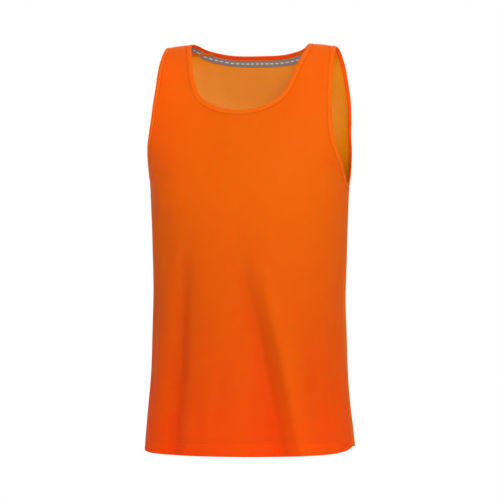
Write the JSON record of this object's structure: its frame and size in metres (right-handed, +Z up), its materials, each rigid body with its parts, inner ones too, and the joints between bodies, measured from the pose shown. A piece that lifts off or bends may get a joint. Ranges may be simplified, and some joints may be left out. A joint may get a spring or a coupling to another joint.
{
  "type": "running singlet",
  "caption": "Sleeveless running singlet, filled out as worn: smooth front carried over both shoulders, eyelet-mesh back, banded scoop neck, bound armholes and a turned-up hem.",
  "frame": {"origin": "midway between the two neck points, where the neckline crosses the top of the shoulders; the garment hangs below it from the wearer's shoulders", "axes": "+Z up along the garment's length, -Y to its front, +X to the wearer's left"},
  "size_m": [0.369, 0.2488, 0.7146],
  "materials": {
    "smooth_knit": "fine smooth polyester knit, orange",
    "eyelet_mesh": "eyelet mesh polyester knit, orange",
    "band_knit": "folded smooth knit, orange",
    "neck_tape": "woven tape, grey"
  },
  "bodies": {
    "root": {"front": "smooth_knit", "back": "eyelet_mesh", "neckband": "band_knit", "neck_tape": "neck_tape", "armhole_binding_left": "band_knit", "armhole_binding_right": "band_knit"}
  },
  "joints": []
}
